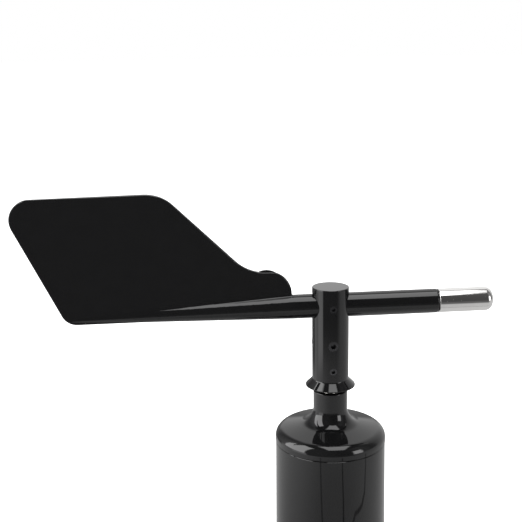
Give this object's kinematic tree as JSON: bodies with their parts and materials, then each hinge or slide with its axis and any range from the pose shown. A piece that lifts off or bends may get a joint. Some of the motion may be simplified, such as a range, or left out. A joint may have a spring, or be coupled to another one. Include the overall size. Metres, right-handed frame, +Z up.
{
  "type": "wind direction sensor",
  "caption": "Wind vane: a flat black fin and a steel-tipped arm turn freely on a slim hub and neck above a round flanged housing with a rear signal socket.",
  "frame": {"origin": "centre of the base flange's mounting face, on the axis that the vane turns about", "axes": "+Z up along the vane's axis; at rest the vane's nose points along +X and its fin along -X; the signal socket faces +Y"},
  "size_m": [0.1933, 0.074, 0.1774],
  "materials": {
    "housing_plastic": "gloss",
    "vane_plastic": "gloss",
    "polished_steel": "polished",
    "black_steel": "satin",
    "stainless": "satin",
    "spring_steel": "satin",
    "bearing_steel": "polished",
    "ball_steel": "polished",
    "cage_brass": "satin",
    "holder_aluminium": "satin",
    "nickel": "polished",
    "seal_rubber": "matte",
    "board_green": "satin",
    "chip_black": "matte",
    "header_white": "satin",
    "contact_gold": "polished",
    "lead_plastic": "satin"
  },
  "bodies": {
    "housing": {"base_flange": "housing_plastic", "base_seal": "seal_rubber", "body_barrel": "housing_plastic", "top_cap": "housing_plastic", "cap_seal": "seal_rubber", "tie_screws": "stainless", "upper_bearing_outer_race": "bearing_steel", "upper_bearing_shields": "stainless", "lower_bearing_outer_race": "bearing_steel", "lower_bearing_shields": "stainless", "bearing_circlip": "spring_steel", "sensor_board": "board_green", "angle_sensor": "chip_black", "board_components": "chip_black", "board_standoffs": "cage_brass", "board_screws": "stainless", "wire_header": "header_white", "socket_gasket": "seal_rubber", "socket_shell": "nickel", "socket_nut": "nickel", "socket_insert": "chip_black", "socket_contacts": "contact_gold", "signal_leads": "lead_plastic"},
    "vane": {"vane_hub": "vane_plastic", "arm_grub_screw": "black_steel", "shaft_grub_screws": "black_steel", "tail_vane": "vane_plastic", "nose_weight": "polished_steel", "rotor_shaft": "stainless", "upper_bearing_inner_race": "bearing_steel", "lower_bearing_inner_race": "bearing_steel", "bearing_spacer": "holder_aluminium", "shaft_clip": "spring_steel", "magnet_holder": "holder_aluminium", "encoder_magnet": "nickel"},
    "upper_ball_set": {"upper_bearing_balls": "ball_steel", "upper_bearing_cage": "cage_brass"},
    "lower_ball_set": {"lower_bearing_balls": "ball_steel", "lower_bearing_cage": "cage_brass"}
  },
  "joints": [
    {"name": "vane_spin", "type": "hinge", "parent": "housing", "child": "vane", "pos_m": [0, 0, 0.0906], "axis": [0, 0, 1], "continuous": true},
    {"name": "upper_balls_roll", "type": "hinge", "parent": "housing", "child": "upper_ball_set", "pos_m": [0, 0, 0.0906], "axis": [0, 0, 1], "continuous": true},
    {"name": "lower_balls_roll", "type": "hinge", "parent": "housing", "child": "lower_ball_set", "pos_m": [0, 0, 0.0734], "axis": [0, 0, 1], "continuous": true}
  ],
  "couplings": [
    {"joint": "upper_balls_roll", "follows": "vane_spin", "ratio": 0.4},
    {"joint": "lower_balls_roll", "follows": "vane_spin", "ratio": 0.36916}
  ]
}
